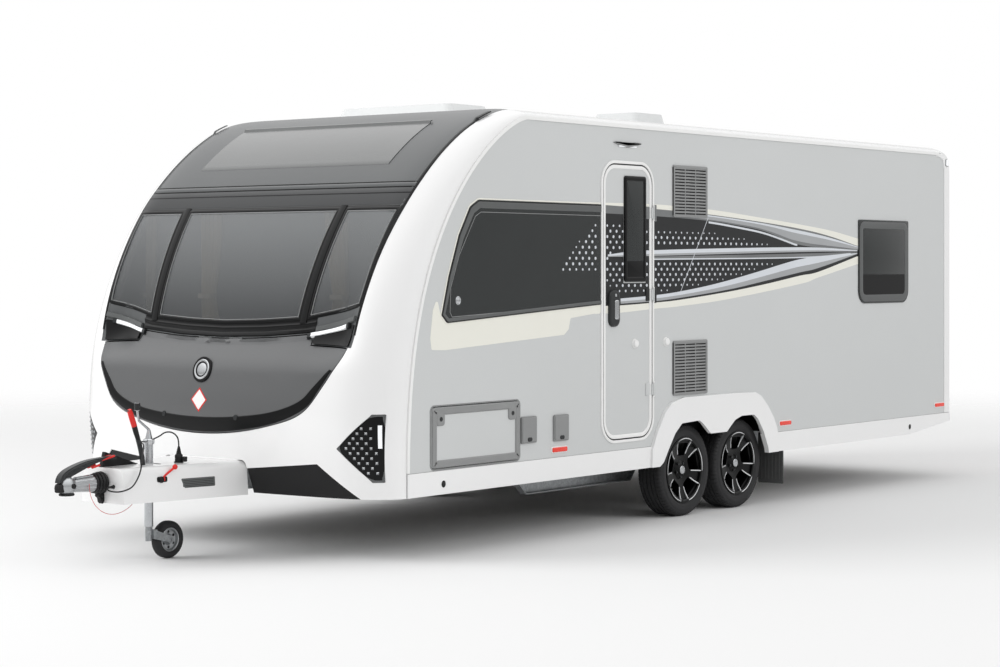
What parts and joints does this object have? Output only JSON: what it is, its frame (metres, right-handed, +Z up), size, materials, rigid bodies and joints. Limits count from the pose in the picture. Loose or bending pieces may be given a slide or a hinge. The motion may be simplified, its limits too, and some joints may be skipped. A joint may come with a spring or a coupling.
{
  "type": "travel caravan",
  "caption": "Long touring caravan with twin axles, a dark panoramic nose, a hinged locker lid, a side door, a drawbar cover and a jockey wheel.",
  "frame": {"origin": "on the ground, under the middle of the overall box", "axes": "+X towards the entrance door's side, -Y towards the coupling, +Z up"},
  "size_m": [2.454, 7.9808, 2.7],
  "materials": {
    "shell_white": "satin white aluminium sheet and moulded ends",
    "moulding_white": "gloss white moulded plastic",
    "dark_gloss": "gloss black moulded panel",
    "lid_grey": "metallic dark grey moulded lid",
    "tinted_glass": "tinted acrylic glazing",
    "lamp_clear": "clear lamp lens over black wells",
    "lamp_red": "red lamp lens",
    "black_plastic": "textured black plastic",
    "grey_plastic": "grey plastic",
    "floor_board": "laminated floor board",
    "galvanised": "galvanised steel",
    "rail_metal": "anodised aluminium bead",
    "tyre": "road tyre",
    "alloy": "machined and painted alloy rim",
    "silver_cast": "silver casting",
    "red_plastic": "red plastic",
    "rubber_black": "black rubber",
    "fabric_cream": "cream curtain fabric"
  },
  "bodies": {
    "caravan": {"awning_rails": "rail_metal", "brake_lever": "black_plastic", "breakaway_cable": "red_plastic", "chassis_rails": "galvanised", "clamp_lever": "red_plastic", "coupling_handle": "black_plastic", "coupling_head": "silver_cast", "cover_fittings": "black_plastic", "cross_members": "galvanised", "curtains": "fabric_cream", "door_hinges": "black_plastic", "drawbar_head": "galvanised", "drawbar_legs": "galvanised", "floor_panel": "floor_board", "frame_cover": "moulding_white", "front_grilles": "black_plastic", "front_lamps": "lamp_clear", "front_moulding": "moulding_white", "front_upper_panel": "dark_gloss", "front_windows": "tinted_glass", "gas_locker": "floor_board", "jockey_clamp": "galvanised", "overrun_bellows": "rubber_black", "rear_bumper": "grey_plastic", "rear_lamps": "lamp_red", "rear_panel": "moulding_white", "roof_panel": "shell_white", "rooflights": "black_plastic", "side_wall_near": "shell_white", "side_wall_off": "shell_white", "side_windows": "tinted_glass", "skirt_near": "grey_plastic", "skirt_off": "grey_plastic", "supply_cable": "rubber_black", "supply_plug": "black_plastic", "suspension": "galvanised", "wall_vents": "grey_plastic", "wheel_boxes": "black_plastic"},
    "road_wheel_front_near": {"tyre_front_near": "tyre", "wheel_front_near": "alloy"},
    "road_wheel_front_off": {"tyre_front_off": "tyre", "wheel_front_off": "alloy"},
    "road_wheel_rear_near": {"tyre_rear_near": "tyre", "wheel_rear_near": "alloy"},
    "road_wheel_rear_off": {"tyre_rear_off": "tyre", "wheel_rear_off": "alloy"},
    "door": {"entrance_door": "moulding_white", "door_window": "tinted_glass", "door_handle": "black_plastic"},
    "lid": {"locker_lid": "lid_grey"},
    "hatch": {"side_hatch": "moulding_white"},
    "steady_leg_front_near": {"steady_front_near": "galvanised"},
    "steady_leg_front_off": {"steady_front_off": "galvanised"},
    "steady_leg_rear_near": {"steady_rear_near": "galvanised"},
    "steady_leg_rear_off": {"steady_rear_off": "galvanised"},
    "jockey_tube": {"jockey_post": "galvanised"},
    "jockey_swivel": {"jockey_fork": "galvanised"},
    "jockey_roller": {"jockey_wheel": "rubber_black"}
  },
  "joints": [
    {"name": "road_wheel_front_near_spin", "type": "hinge", "parent": "caravan", "child": "road_wheel_front_near", "pos_m": [1.0575, 0.307, 0.298], "axis": [1, 0, 0], "continuous": true},
    {"name": "road_wheel_front_off_spin", "type": "hinge", "parent": "caravan", "child": "road_wheel_front_off", "pos_m": [-1.0575, 0.307, 0.298], "axis": [1, 0, 0], "continuous": true},
    {"name": "road_wheel_rear_near_spin", "type": "hinge", "parent": "caravan", "child": "road_wheel_rear_near", "pos_m": [1.0575, 0.959, 0.298], "axis": [1, 0, 0], "continuous": true},
    {"name": "road_wheel_rear_off_spin", "type": "hinge", "parent": "caravan", "child": "road_wheel_rear_off", "pos_m": [-1.0575, 0.959, 0.298], "axis": [1, 0, 0], "continuous": true},
    {"name": "door_hinge", "type": "hinge", "parent": "caravan", "child": "door", "pos_m": [1.219, -0.17, 1.4], "axis": [0, 0, 1], "range_deg": [0, 170]},
    {"name": "lid_hinge", "type": "hinge", "parent": "caravan", "child": "lid", "pos_m": [0, -2.76626, 1.208], "axis": [-1, 0, 0], "range_deg": [0, 60]},
    {"name": "hatch_hinge", "type": "hinge", "parent": "caravan", "child": "hatch", "pos_m": [1.209, -1.951, 0.4975], "axis": [0, 1, 0], "range_deg": [0, 105]},
    {"name": "steady_leg_front_near_pivot", "type": "hinge", "parent": "caravan", "child": "steady_leg_front_near", "pos_m": [0.94, -1.8, 0.43], "axis": [1, 0, 0], "range_deg": [0, 70]},
    {"name": "steady_leg_front_off_pivot", "type": "hinge", "parent": "caravan", "child": "steady_leg_front_off", "pos_m": [-0.94, -1.8, 0.43], "axis": [1, 0, 0], "range_deg": [0, 70]},
    {"name": "steady_leg_rear_near_pivot", "type": "hinge", "parent": "caravan", "child": "steady_leg_rear_near", "pos_m": [0.94, 3.2, 0.43], "axis": [-1, 0, 0], "range_deg": [0, 70]},
    {"name": "steady_leg_rear_off_pivot", "type": "hinge", "parent": "caravan", "child": "steady_leg_rear_off", "pos_m": [-0.94, 3.2, 0.43], "axis": [-1, 0, 0], "range_deg": [0, 70]},
    {"name": "jockey_slide", "type": "slide", "parent": "caravan", "child": "jockey_tube", "axis": [0, 0, 1], "range_m": [0, 0.12]},
    {"name": "jockey_caster", "type": "hinge", "parent": "jockey_tube", "child": "jockey_swivel", "pos_m": [0, -3.325, 0.2], "axis": [0, 0, 1], "continuous": true},
    {"name": "jockey_spin", "type": "hinge", "parent": "jockey_swivel", "child": "jockey_roller", "pos_m": [0, -3.185, 0.104], "axis": [1, 0, 0], "continuous": true}
  ]
}
